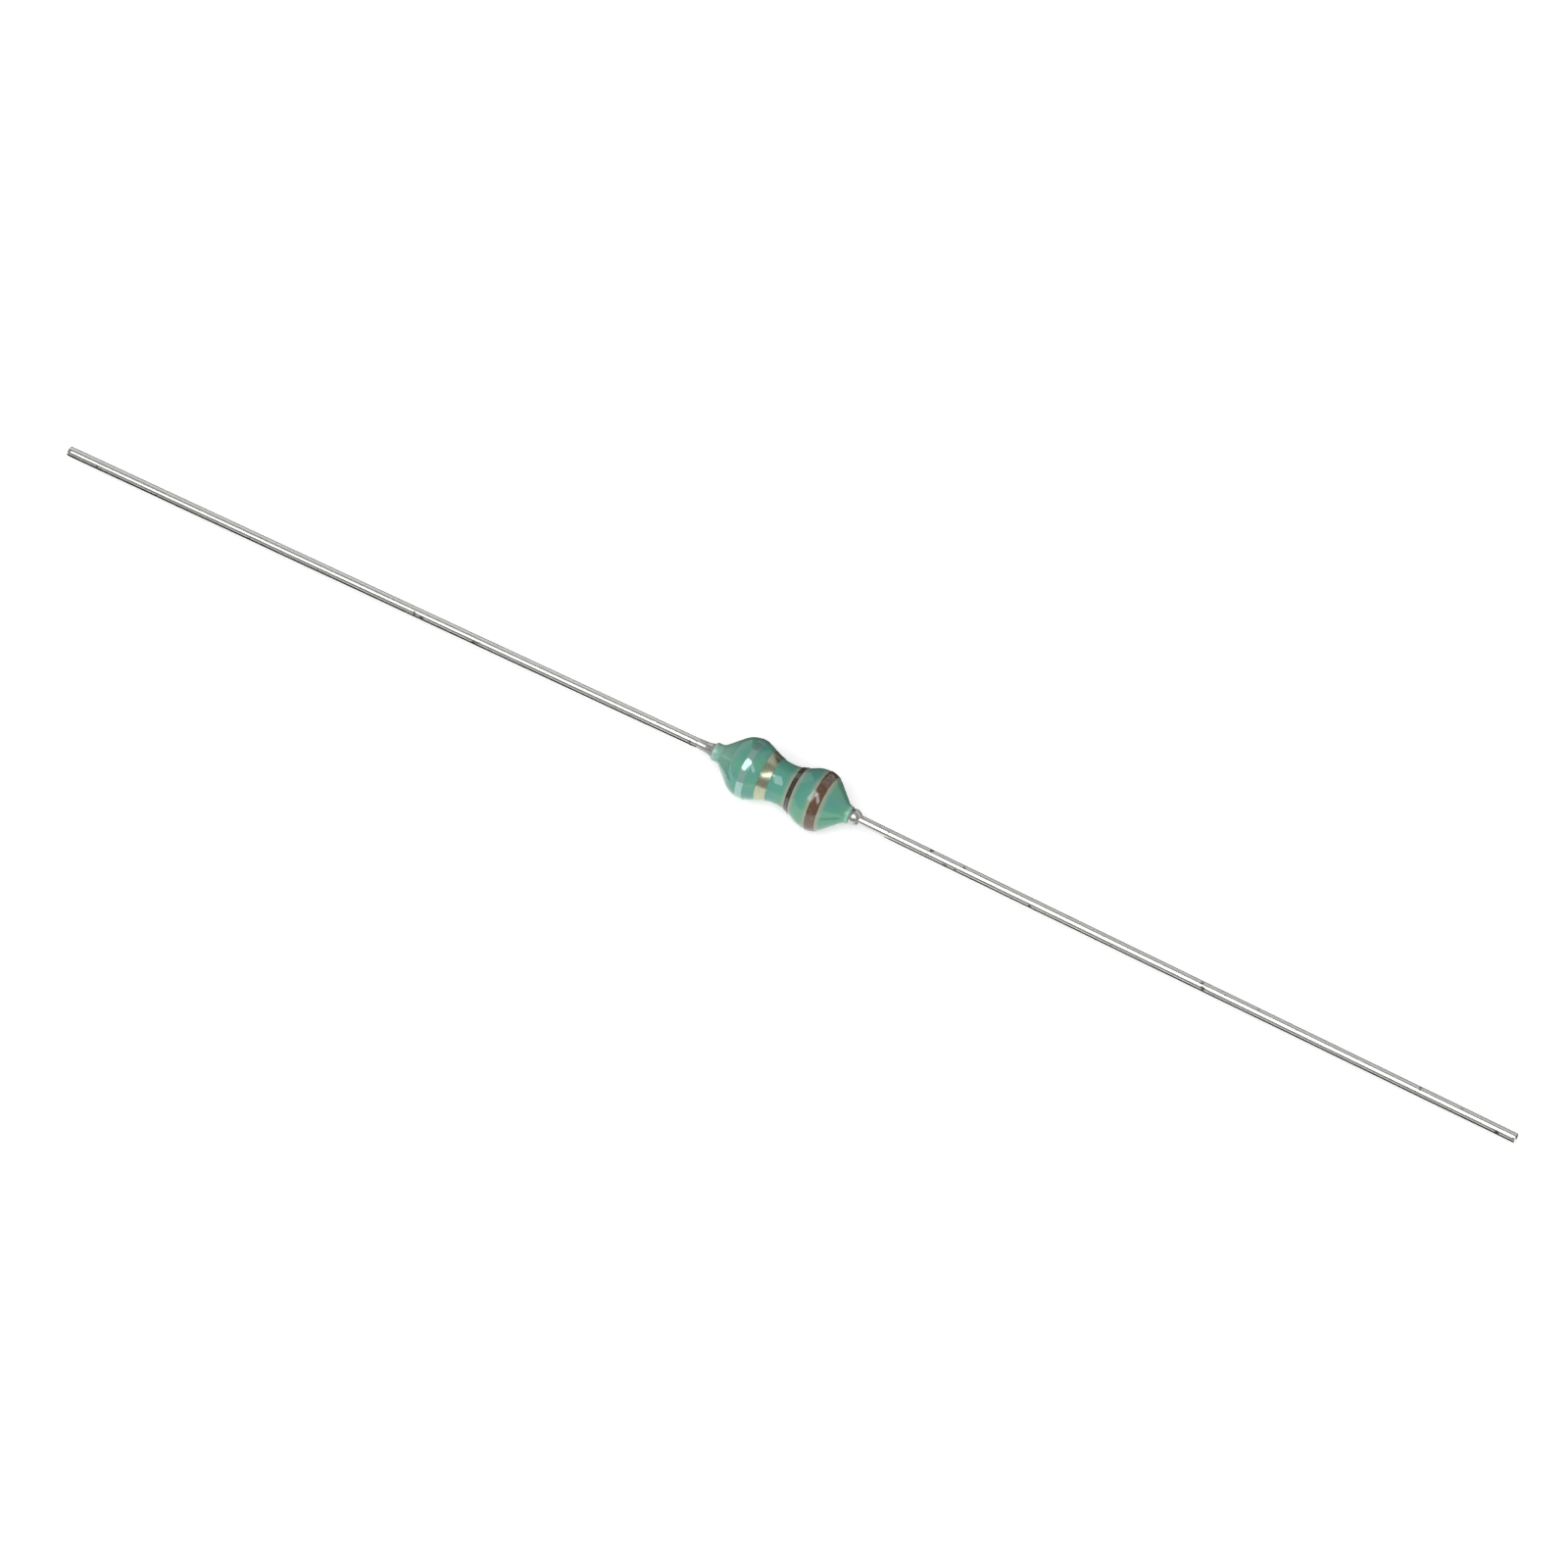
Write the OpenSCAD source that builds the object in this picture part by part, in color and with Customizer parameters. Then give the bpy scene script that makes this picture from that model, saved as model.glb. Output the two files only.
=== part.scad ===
// Axial inductor of one microhenry: enamelled wire on a ferrite drum, dipped in green epoxy
// The long axis is X, the lead beside the first colour band is at +X, and the origin is the body's centre
// All sizes are in millimetres and all angles in degrees

/* [Ferrite core] */
// Diameter of the two flanges
flange_d = 1.84; // [1.7:0.02:2]
// Thickness of each flange
flange_t = 0.55; // [0.45:0.01:0.65]
// Width of the winding space between the flanges
winding_space = 2.4; // [2.2:0.05:2.6]
// Diameter of the neck that carries the winding
drum_neck_d = 1; // [0.9:0.02:1.1]
// Chamfer on the rims of the flanges
flange_chamfer = 0.04; // [0.02:0.01:0.08]
// Diameter of the socket that holds a lead
socket_d = 0.52; // [0.48:0.01:0.6]
// Depth of the socket
socket_depth = 0.7; // [0.5:0.05:0.9]

/* [Winding] */
// Diameter of the enamelled wire
wire_d = 0.16; // [0.12:0.01:0.17]
// Turns on the neck
turns = 12.5; // [8:0.5:13]
// Turns of each wire end round its lead
root_turns = 2.5; // [1.5:0.5:3]
// Space between neighbouring turns round a lead
root_turn_gap = 0.02; // [0.01:0.01:0.05]
// Running gap between the wire and what it is wound on
wire_gap = 0.01; // [0.01:0.005:0.02]

/* [Leads] */
// Diameter of the tinned lead wire
lead_d = 0.4; // [0.36:0.02:0.44]
// Length over both leads, along the body's axis
overall_length = 64; // [40:1:80]
// Angle by which each lead hangs below the body's axis
lead_droop = 1.1; // [0.8:0.1:2]
// Radius of the bend that turns a lead down
lead_bend_r = 4; // [2:0.5:8]
// Straight lead between the solder and the bend
lead_straight = 0.1; // [0.05:0.05:0.3]
// Adhesive between the end of a lead and the bottom of its socket
bond_floor = 0.05; // [0.03:0.01:0.1]

/* [Solder] */
// Wall of solder over the turns round a lead
solder_wall = 0.06; // [0.04:0.01:0.08]
// Wall of solder on the lead where the coat ends
solder_neck_wall = 0.1; // [0.06:0.01:0.12]
// Length of solder past the last turn before it narrows
solder_land = 0.04; // [0.02:0.01:0.08]
// Length over which it narrows
solder_taper = 0.26; // [0.2:0.02:0.3]
// Length of the fillet that runs out of the coat on the left lead
solder_out_left = 0.57; // [0.4:0.01:0.7]
// Length of the bead that stands out of the coat on the right lead
solder_out_right = 0.42; // [0.3:0.01:0.6]
// Height of that bead above the solder inside the coat
bead_height = 0.04; // [0.02:0.01:0.06]

/* [Coat] */
// Thickness of the coat over the flanges, at its two crests
coat_over_flange = 0.33; // [0.28:0.01:0.4]
// Thickness of the coat over the winding, at its waist
coat_over_winding = 0.18; // [0.12:0.01:0.24]
// Thickness of the coat round the solder, at its two tips
coat_over_solder = 0.08; // [0.05:0.01:0.12]
// Radius of a crest on the side of the waist
crest_inner_r = 1.18; // [0.9:0.02:1.4]
// Radius of a crest on the side of the lead
crest_outer_r = 0.9; // [0.8:0.02:1]
// Slope of the two ends towards the leads
end_angle = 43; // [40:1:46]
// Radius of the hollow where an end runs into its tip
end_hollow_r = 0.3; // [0.2:0.02:0.4]
// Length of the even stretch at the left tip
tip_left = 0.2; // [0.1:0.02:0.4]
// Length of the even stretch at the right tip
tip_right = 0.06; // [0.06:0.02:0.3]
// Rounding of the coat's edge at both tips
tip_round = 0.05; // [0.02:0.01:0.05]

/* [Colour bands] */
// Thickness of the ink
band_t = 0.02; // [0.01:0.005:0.03]
// Place of the brown band, the first figure, one
brown_x = 1.72; // [1.5:0.01:1.8]
// Width of the brown band
brown_w = 0.38; // [0.3:0.01:0.5]
// Place of the black band, the second figure, nought
black_x = 0.56; // [0.4:0.01:0.7]
// Width of the black band
black_w = 0.2; // [0.15:0.01:0.3]
// Place of the gold band, which multiplies by a tenth
gold_x = -0.59; // [-0.7:0.01:-0.4]
// Width of the gold band
gold_w = 0.42; // [0.3:0.01:0.5]
// Place of the silver band, a tolerance of ten per cent
silver_x = -1.38; // [-1.5:0.01:-1.2]
// Width of the silver band
silver_w = 0.28; // [0.2:0.01:0.4]

/* [Hidden] */
$fn = 96;
LEFT = -1;
RIGHT = 1;

// The drum
flange_r = flange_d / 2;
neck_r = drum_neck_d / 2;
space_end = winding_space / 2;
core_end = space_end + flange_t;
socket_floor = core_end - socket_depth;

// The wire and its route, from the outside of one flange over its rim to the winding space
wire_r = wire_d / 2;
wire_off = wire_r + wire_gap;
wound_r = neck_r + wire_off;
wound_outer_r = neck_r + 2 * wire_off;
over_r = flange_r + wire_off;
winding_end = space_end - wire_off;
root_start = core_end + wire_off;
lead_r = lead_d / 2;
root_r = lead_r + wire_off;
root_outer_r = root_r + wire_off + wire_gap;
root_pitch = wire_d + root_turn_gap;
root_length = root_turns * root_pitch;
root_end = root_start + root_length + wire_off;
start_angle = 90;
end_turn_angle = start_angle + 360 * turns;
slot_r = wire_off + wire_gap;
wire_sides = 8;
winding_steps = 20;
root_steps = 16;
corner_step = 30;
arc_steps = 8;

// The coat's outline: a waist arc, two arcs to each crest, a straight slope, a hollow and the tip
crest_x = space_end + flange_t / 2;
crest_r = flange_r + coat_over_flange;
waist_r = wound_outer_r + coat_over_winding;
crest_rise = crest_r - waist_r;
arcs_r = (pow(crest_x, 2) + pow(crest_rise, 2)) / (2 * crest_rise);
waist_arc_r = arcs_r - crest_inner_r;
solder_r = root_outer_r + solder_wall;
solder_neck_r = lead_r + solder_neck_wall;
tip_r = solder_neck_r + coat_over_solder;
solder_taper_start = root_end + solder_land;
solder_taper_end = solder_taper_start + solder_taper;

// Height of the thin edge in which the solder ends on a lead, and the place of the bead's top along the bead
solder_edge = 0.01;
bead_top_share = 0.35;

// The straight slope runs from the outer crest arc to the hollow, at which the tip begins
crest_fall = crest_outer_r * (1 - cos(end_angle));
hollow_rise = end_hollow_r * (1 - cos(end_angle));
slope_start = crest_x + crest_outer_r * sin(end_angle);
slope_length = (crest_r - crest_fall - tip_r - hollow_rise) / tan(end_angle);
hollow_end = slope_start + slope_length + end_hollow_r * sin(end_angle);
turn_over = asin(crest_x / arcs_r);
function tip_end(side) = hollow_end + (side == LEFT ? tip_left : tip_right);
function solder_end(side) = tip_end(side) + (side == LEFT ? solder_out_left : solder_out_right);
function bend_start(side) = solder_end(side) + lead_straight;

// Sections have the radius as x and the place along the long axis as y
// Points along an arc round c, from one angle to another, without the first point where it is shared
function arc(c, radius, from, to, first = 1) = [
    for (i = [first:arc_steps])
        let (a = from + (to - from) * i / arc_steps)
        c + radius * [cos(a), sin(a)]
];

// Outline of one end, from the waist to the tip, for a surface that lies a skin's thickness outside the coat
function end_outline(side, skin) = concat(
    arc([waist_r + waist_arc_r, 0], waist_arc_r - skin, 180, 180 - turn_over),
    arc([crest_r - crest_inner_r, crest_x], crest_inner_r + skin, -turn_over, 0),
    arc([crest_r - crest_outer_r, crest_x], crest_outer_r + skin, 0, end_angle),
    arc([tip_r + end_hollow_r, hollow_end], end_hollow_r - skin, 180 + end_angle, 180, 0),
    arc([tip_r - tip_round, tip_end(side) - tip_round], tip_round + skin, 0, 90, 0),
    [[0, tip_end(side) + skin]]
);

// The same outline for the other end of the axis, in the order that closes a polygon
function mirrored(points) = [for (i = [len(points) - 1:-1:0]) [points[i][0], -points[i][1]]];

module coat_section(skin = 0) {
    polygon(concat(
        mirrored(end_outline(LEFT, skin)),
        [[waist_r + skin, 0]],
        end_outline(RIGHT, skin)
    ));
}

// Turns a section round the long axis
module revolve() {
    rotate([0, 90, 0])
        rotate_extrude()
            children();
}

// The stretch of a section between two places, counted outwards from the middle
module stretch(side, from, to, radius) {
    translate([0, side == LEFT ? -to : from])
        square([radius, to - from]);
}

function flange_outline() = [
    [neck_r, space_end], [flange_r - flange_chamfer, space_end], [flange_r, space_end + flange_chamfer],
    [flange_r, core_end - flange_chamfer], [flange_r - flange_chamfer, core_end], [0, core_end]
];

module drum_section() {
    polygon(concat(mirrored(flange_outline()), flange_outline()));
}

// A fillet that hollows down to the lead
function run_out_outline() =
    let (
        drop = solder_neck_wall - solder_edge,
        arc_r = (pow(solder_out_left, 2) + pow(drop, 2)) / (2 * drop)
    )
    arc(
        [lead_r + solder_edge + arc_r, solder_end(LEFT)], arc_r,
        180 + asin(solder_out_left / arc_r), 180
    );

// A bead that swells past the coat and closes on the lead
function bead_outline() =
    let (
        rise = bead_height,
        drop = solder_neck_wall + bead_height - solder_edge,
        front = solder_out_right * bead_top_share,
        back = solder_out_right - front,
        front_r = (pow(front, 2) + pow(rise, 2)) / (2 * rise),
        back_r = (pow(back, 2) + pow(drop, 2)) / (2 * drop),
        top = [solder_neck_r + bead_height, tip_end(RIGHT) + front]
    )
    concat(
        arc(top - [front_r, 0], front_r, -asin(front / front_r), 0),
        arc(top - [back_r, 0], back_r, 0, asin(back / back_r))
    );

// Outside of the solder: over the turns, narrowing to the tip, and what stands out of the coat
function solder_outline(side) = concat(
    [
        [0, core_end], [solder_r, core_end], [solder_r, solder_taper_start],
        [solder_neck_r, solder_taper_end], [solder_neck_r, tip_end(side)]
    ],
    side == LEFT ? run_out_outline() : bead_outline(),
    [[0, solder_end(side)]]
);

module solder_section(side) {
    polygon(side == LEFT ? mirrored(solder_outline(side)) : solder_outline(side));
}

// Directions and places round the long axis
function outward(angle) = [0, cos(angle), sin(angle)];
function around(angle) = [0, -sin(angle), cos(angle)];
function place(x, radius, angle) = [x, 0, 0] + radius * outward(angle);
function degrees_along(length, radius) = length / radius * 180 / PI;

// Points round a square corner at p that is reached along a and left along b
function corner(p, a, b) = [
    for (t = [0:corner_step:90])
        p - a * wire_off * (1 - sin(t)) + b * wire_off * (1 - cos(t))
];

// Points along a helix, without its last one
function helix(x0, x1, radius, angle0, angle1, steps) =
    let (count = ceil(abs(angle1 - angle0) / 360 * steps))
    [
        for (i = [1:count - 1])
            place(x0 + (x1 - x0) * i / count, radius, angle0 + (angle1 - angle0) * i / count)
    ];

X = [1, 0, 0];
root_skip = degrees_along(wire_off, root_r);
wound_skip = degrees_along(wire_off, wound_r);
wire_path = concat(
    helix(
        -root_start - root_length, -root_start, root_r,
        start_angle - 360 * root_turns, start_angle - root_skip, root_steps
    ),
    corner(place(-root_start, root_r, start_angle), around(start_angle), outward(start_angle)),
    corner(place(-root_start, over_r, start_angle), outward(start_angle), X),
    corner(place(-winding_end, over_r, start_angle), X, -outward(start_angle)),
    corner(place(-winding_end, wound_r, start_angle), -outward(start_angle), around(start_angle)),
    helix(
        -winding_end, winding_end, wound_r,
        start_angle + wound_skip, end_turn_angle - wound_skip, winding_steps
    ),
    corner(place(winding_end, wound_r, end_turn_angle), around(end_turn_angle), outward(end_turn_angle)),
    corner(place(winding_end, over_r, end_turn_angle), outward(end_turn_angle), X),
    corner(place(root_start, over_r, end_turn_angle), X, -outward(end_turn_angle)),
    corner(place(root_start, root_r, end_turn_angle), -outward(end_turn_angle), around(end_turn_angle)),
    helix(
        root_start, root_start + root_length, root_r,
        end_turn_angle + root_skip, end_turn_angle + 360 * root_turns, root_steps
    )
);

// The sweep: each ring stands square to the path, and its first point is carried on from the ring before
function unit(v) = v / norm(v);
function squared(v, t) = unit(v - t * (v * t));
function heading(path, i) = unit(path[min(i + 1, len(path) - 1)] - path[max(i - 1, 0)]);

module wire(path, radius, sides) {
    last = len(path) - 1;
    headings = [for (i = [0:last]) heading(path, i)];
    normals = [
        for (i = 0, n = squared(X, headings[0]); i <= last;
            i = i + 1, n = squared(n, headings[min(i, last)])) n
    ];
    points = [
        for (i = [0:last], k = [0:sides - 1])
            let (a = 360 * k / sides)
            path[i] + radius * (cos(a) * normals[i] + sin(a) * cross(headings[i], normals[i]))
    ];
    walls = [
        for (i = [0:last - 1], k = [0:sides - 1], half = [0, 1])
            let (a = i * sides + k, b = i * sides + (k + 1) % sides)
            half == 0 ? [a, a + sides, b + sides] : [a, b + sides, b]
    ];
    polyhedron(
        points = points,
        faces = concat(walls, [
            [for (k = [0:sides - 1]) k],
            [for (k = [sides - 1:-1:0]) last * sides + k]
        ])
    );
}

// A plain round stretch along the axis
module rod(from, to, radius) {
    translate([from, 0, 0])
        rotate([0, 90, 0])
            cylinder(h = to - from, r = radius);
}

// The room that the wire takes beside a flange, from its rim down to the radius of the turns there
module drop_room(x, turn_r) {
    translate([x, 0, turn_r])
        cylinder(h = over_r - turn_r, r = slot_r);
    translate([x, 0, over_r])
        sphere(slot_r);
}

// The room that the wire takes on its way over one flange
module tail_room(side, angle) {
    inner_x = side * winding_end;
    outer_x = side * root_start;
    rotate([angle - 90, 0, 0]) {
        drop_room(inner_x, wound_r);
        drop_room(outer_x, root_r);
        translate([0, 0, over_r])
            rod(min(inner_x, outer_x), max(inner_x, outer_x), slot_r);
    }
}

module tail_rooms() {
    tail_room(LEFT, start_angle);
    tail_room(RIGHT, end_turn_angle);
}

module sockets() {
    for (side = [LEFT, RIGHT])
        stretch(side, socket_floor, core_end, socket_d / 2);
}

// The straight root of a lead, its bend, and the stretch that hangs
module lead(side) {
    bend = bend_start(side);
    outer_x = bend + lead_bend_r * sin(lead_droop);
    outer_length = (overall_length / 2 - outer_x) / cos(lead_droop);
    rotate([0, 0, side == LEFT ? 180 : 0]) {
        rod(socket_floor + bond_floor, bend, lead_r);
        translate([bend, 0, -lead_bend_r])
            rotate([0, -90, -90])
                rotate_extrude(angle = lead_droop)
                    translate([lead_bend_r, 0])
                        circle(lead_r);
        translate([outer_x, 0, -lead_bend_r * (1 - cos(lead_droop))])
            rotate([0, 90 + lead_droop, 0])
                cylinder(h = outer_length, r = lead_r);
    }
}

module lead_bond(side) {
    revolve()
        difference() {
            stretch(side, socket_floor, core_end, socket_d / 2);
            stretch(side, socket_floor + bond_floor, core_end, lead_r);
        }
}

module solder(side, angle) {
    difference() {
        revolve()
            difference() {
                solder_section(side);
                stretch(side, core_end, root_end, root_outer_r);
                stretch(side, core_end, solder_end(side), lead_r);
            }
        tail_room(side, angle);
    }
}

module band(x, width) {
    revolve()
        intersection() {
            difference() {
                coat_section(band_t);
                coat_section();
            }
            translate([0, x - width / 2])
                square([crest_r + 2 * band_t, width]);
        }
}

module ferrite_core() {
    color("dimgray")
        revolve()
            difference() {
                drum_section();
                sockets();
            }
}

module winding() {
    color("chocolate")
        wire(wire_path, wire_r, wire_sides);
}

module lead_left() {
    color("silver")
        lead(LEFT);
}

module lead_right() {
    color("silver")
        lead(RIGHT);
}

module lead_bond_left() {
    color("wheat")
        lead_bond(LEFT);
}

module lead_bond_right() {
    color("wheat")
        lead_bond(RIGHT);
}

module solder_left() {
    color("lightgray")
        solder(LEFT, start_angle);
}

module solder_right() {
    color("lightgray")
        solder(RIGHT, end_turn_angle);
}

module coat() {
    color("cadetblue")
        difference() {
            revolve()
                difference() {
                    coat_section();
                    drum_section();
                    stretch(LEFT, 0, space_end, wound_outer_r);
                    stretch(RIGHT, 0, space_end, wound_outer_r);
                    solder_section(LEFT);
                    solder_section(RIGHT);
                }
            tail_rooms();
        }
}

module band_brown() {
    color("saddlebrown")
        band(brown_x, brown_w);
}

module band_black() {
    color("black")
        band(black_x, black_w);
}

module band_gold() {
    color("goldenrod")
        band(gold_x, gold_w);
}

module band_silver() {
    color("gainsboro")
        band(silver_x, silver_w);
}

ferrite_core();
winding();
lead_left();
lead_right();
lead_bond_left();
lead_bond_right();
solder_left();
solder_right();
coat();
band_brown();
band_black();
band_gold();
band_silver();
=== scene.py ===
"""Looks of an axial inductor: a ferrite drum dipped in green epoxy, with printed rings and leads.

The long axis is X, the lead beside the first colour ring is at +X, and +Z is up. Shapes are drawn
in millimetres, and a finished mesh is turned to metres. Sizes are in millimetres and angles in
degrees, unless a name or a docstring says otherwise.
"""

import logging
import math
from dataclasses import dataclass, field
from enum import Enum
from typing import Any

import bmesh
import bpy
from mathutils import Matrix, Vector, noise


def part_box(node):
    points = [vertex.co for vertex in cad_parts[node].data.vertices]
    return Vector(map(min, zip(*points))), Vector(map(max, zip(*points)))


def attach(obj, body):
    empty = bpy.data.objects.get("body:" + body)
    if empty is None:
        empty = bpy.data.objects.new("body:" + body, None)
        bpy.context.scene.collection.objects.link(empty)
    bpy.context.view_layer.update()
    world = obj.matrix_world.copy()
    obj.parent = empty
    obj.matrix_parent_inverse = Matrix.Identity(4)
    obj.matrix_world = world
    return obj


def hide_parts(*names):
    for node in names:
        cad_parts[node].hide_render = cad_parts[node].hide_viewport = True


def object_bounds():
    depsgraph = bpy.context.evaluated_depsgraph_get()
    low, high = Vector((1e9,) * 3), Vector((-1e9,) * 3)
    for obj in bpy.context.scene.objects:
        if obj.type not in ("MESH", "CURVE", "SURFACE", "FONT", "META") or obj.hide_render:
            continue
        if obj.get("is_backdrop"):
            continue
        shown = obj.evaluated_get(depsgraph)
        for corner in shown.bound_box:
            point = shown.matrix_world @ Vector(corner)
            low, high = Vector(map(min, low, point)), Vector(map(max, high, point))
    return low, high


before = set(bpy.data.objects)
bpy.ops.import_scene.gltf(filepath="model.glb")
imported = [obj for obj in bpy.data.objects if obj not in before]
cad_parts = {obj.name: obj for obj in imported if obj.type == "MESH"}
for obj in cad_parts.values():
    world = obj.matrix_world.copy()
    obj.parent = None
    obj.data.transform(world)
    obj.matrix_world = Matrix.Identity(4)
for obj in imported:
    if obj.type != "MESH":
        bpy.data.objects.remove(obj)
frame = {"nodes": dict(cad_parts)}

MM = 0.001
BODY = "root"
WHITE = "#ffffff"

# A Mix node has sockets of the same name for each kind of value, and these are the colours'
MIX_FACTOR, MIX_A, MIX_B, MIX_RESULT = 0, 6, 7, 2

# A noise pattern is one half on average and hardly leaves this range
NOISE_LOW, NOISE_HIGH = 0.3, 0.7

# Points this close are one, and edges that turn further stay sharp in the shading
WELD_DISTANCE = 1e-6
SHARP_ANGLE = 40.0

log = logging.getLogger("axial_inductor")


class Side(Enum):
    """The two ends of the long axis, as a sign along X."""

    LEFT = -1
    RIGHT = 1

    @property
    def word(self) -> str:
        """The end's name in the names of nodes and pieces."""
        return self.name.lower()


class Stretch(Enum):
    """Scale of a pattern along X, Y and Z: a low one along X draws it out along the wire."""

    EVEN = (1.0, 1.0, 1.0)
    DRAWN = (0.12, 1.0, 1.0)


def linear(colour: str) -> tuple[float, float, float, float]:
    """Turns an sRGB hex colour to linear light, by the numbers of the sRGB standard.

    Args:
        colour: six hex digits after a hash.

    Returns:
        Red, green, blue and an alpha of one.
    """
    shares = [int(colour[i:i + 2], 16) / 255 for i in (1, 3, 5)]
    red, green, blue = (s / 12.92 if s <= 0.04045 else ((s + 0.055) / 1.055) ** 2.4 for s in shares)
    return red, green, blue, 1.0


def add_node(
    tree: bpy.types.NodeTree,
    kind: str,
    settings: dict[str, Any] | None = None,
    values: dict[str | int, Any] | None = None,
    links: dict[str | int, bpy.types.NodeSocket] | None = None,
) -> bpy.types.Node:
    """Adds a shader node with its settings and links.

    Args:
        tree: the node tree.
        kind: the node's type.
        settings: values of the node's own properties.
        values: fixed values of its input sockets.
        links: output sockets that lead into its input sockets.

    Returns:
        The new node.
    """
    node = tree.nodes.new(kind)
    for name, value in (settings or {}).items():
        setattr(node, name, value)
    for name, value in (values or {}).items():
        node.inputs[name].default_value = value
    for name, output in (links or {}).items():
        tree.links.new(output, node.inputs[name])
    return node


class Paint:
    """A new material, with its surface shader and the patterns that lead into it."""

    def __init__(self, name: str, **shader: Any) -> None:
        """Starts the material.

        Args:
            name: the material's name.
            shader: fixed values of the surface shader's sockets, with _ for a space.
        """
        self.material = bpy.data.materials.new(name)
        self.material.use_nodes = True
        self.tree = self.material.node_tree
        self.tree.nodes.clear()
        fixed = {socket.replace("_", " "): value for socket, value in shader.items()}
        self.shader = add_node(self.tree, "ShaderNodeBsdfPrincipled", values=fixed)
        surface = self.shader.outputs["BSDF"]
        add_node(self.tree, "ShaderNodeOutputMaterial", links={"Surface": surface})
        self.place = add_node(self.tree, "ShaderNodeTexCoord").outputs["Object"]

    def noise(
        self, size: float, detail: float = 2.0, stretch: Stretch = Stretch.EVEN
    ) -> bpy.types.NodeSocket:
        """Adds a soft, cloudy pattern.

        Args:
            size: width of its clouds.
            detail: number of finer layers in it.
            stretch: how far it is drawn out along X.

        Returns:
            Its strength, about one half on average.
        """
        mapped = add_node(
            self.tree,
            "ShaderNodeMapping",
            values={"Scale": stretch.value},
            links={"Vector": self.place},
        )
        made = add_node(
            self.tree,
            "ShaderNodeTexNoise",
            values={"Scale": 1 / (size * MM), "Detail": detail},
            links={"Vector": mapped.outputs["Vector"]},
        )
        return made.outputs["Fac"]

    def along(self, wander: float, length: float) -> bpy.types.NodeSocket:
        """Adds the place along the axis, made to wander a little.

        Args:
            wander: most that it wanders.
            length: length of a wander.

        Returns:
            X in metres.
        """
        split = add_node(self.tree, "ShaderNodeSeparateXYZ", links={"Vector": self.place})
        shift = self.ranged(self.noise(length), NOISE_LOW, NOISE_HIGH, -wander * MM, wander * MM)
        return self.maths("ADD", split.outputs["X"], shift)

    def ranged(
        self,
        source: bpy.types.NodeSocket,
        low: float,
        high: float,
        to_low: float = 0.0,
        to_high: float = 1.0,
    ) -> bpy.types.NodeSocket:
        """Maps one range of values smoothly on another and stops at its ends.

        Args:
            source: the values.
            low: start of their range.
            high: end of their range.
            to_low: what the start becomes.
            to_high: what the end becomes.

        Returns:
            The mapped values.
        """
        made = add_node(
            self.tree,
            "ShaderNodeMapRange",
            {"interpolation_type": "SMOOTHSTEP"},
            {"From Min": low, "From Max": high, "To Min": to_low, "To Max": to_high},
            {"Value": source},
        )
        return made.outputs["Result"]

    def maths(
        self, rule: str, first: bpy.types.NodeSocket, second: bpy.types.NodeSocket | float
    ) -> bpy.types.NodeSocket:
        """Joins two values by a rule of arithmetic.

        Args:
            rule: name of the rule.
            first: a value that varies.
            second: another one, or a number.

        Returns:
            The result.
        """
        fixed = isinstance(second, (int, float))
        made = add_node(
            self.tree,
            "ShaderNodeMath",
            {"operation": rule},
            {1: second} if fixed else None,
            {0: first} if fixed else {0: first, 1: second},
        )
        return made.outputs["Value"]

    def mixed(
        self, amount: bpy.types.NodeSocket, first: str | bpy.types.NodeSocket, second: str
    ) -> bpy.types.NodeSocket:
        """Mixes two colours.

        Args:
            amount: share of the second colour.
            first: the colour below, as hex digits or from another mix.
            second: the colour above, as hex digits.

        Returns:
            The mixed colour.
        """
        values = {MIX_B: linear(second)}
        links = {MIX_FACTOR: amount}
        if isinstance(first, str):
            values[MIX_A] = linear(first)
        else:
            links[MIX_A] = first
        made = add_node(self.tree, "ShaderNodeMix", {"data_type": "RGBA"}, values, links)
        return made.outputs[MIX_RESULT]

    def bump(self, height: bpy.types.NodeSocket, depth: float) -> None:
        """Raises the surface by a pattern.

        Args:
            height: the pattern.
            depth: height of its full strength.
        """
        made = add_node(
            self.tree,
            "ShaderNodeBump",
            values={"Strength": 1.0, "Distance": depth * MM},
            links={"Height": height},
        )
        self.lead_in("Normal", made.outputs["Normal"])

    def lead_in(self, socket: str, source: bpy.types.NodeSocket) -> None:
        """Links a pattern to one of the surface shader's sockets."""
        self.tree.links.new(source, self.shader.inputs[socket])


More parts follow.
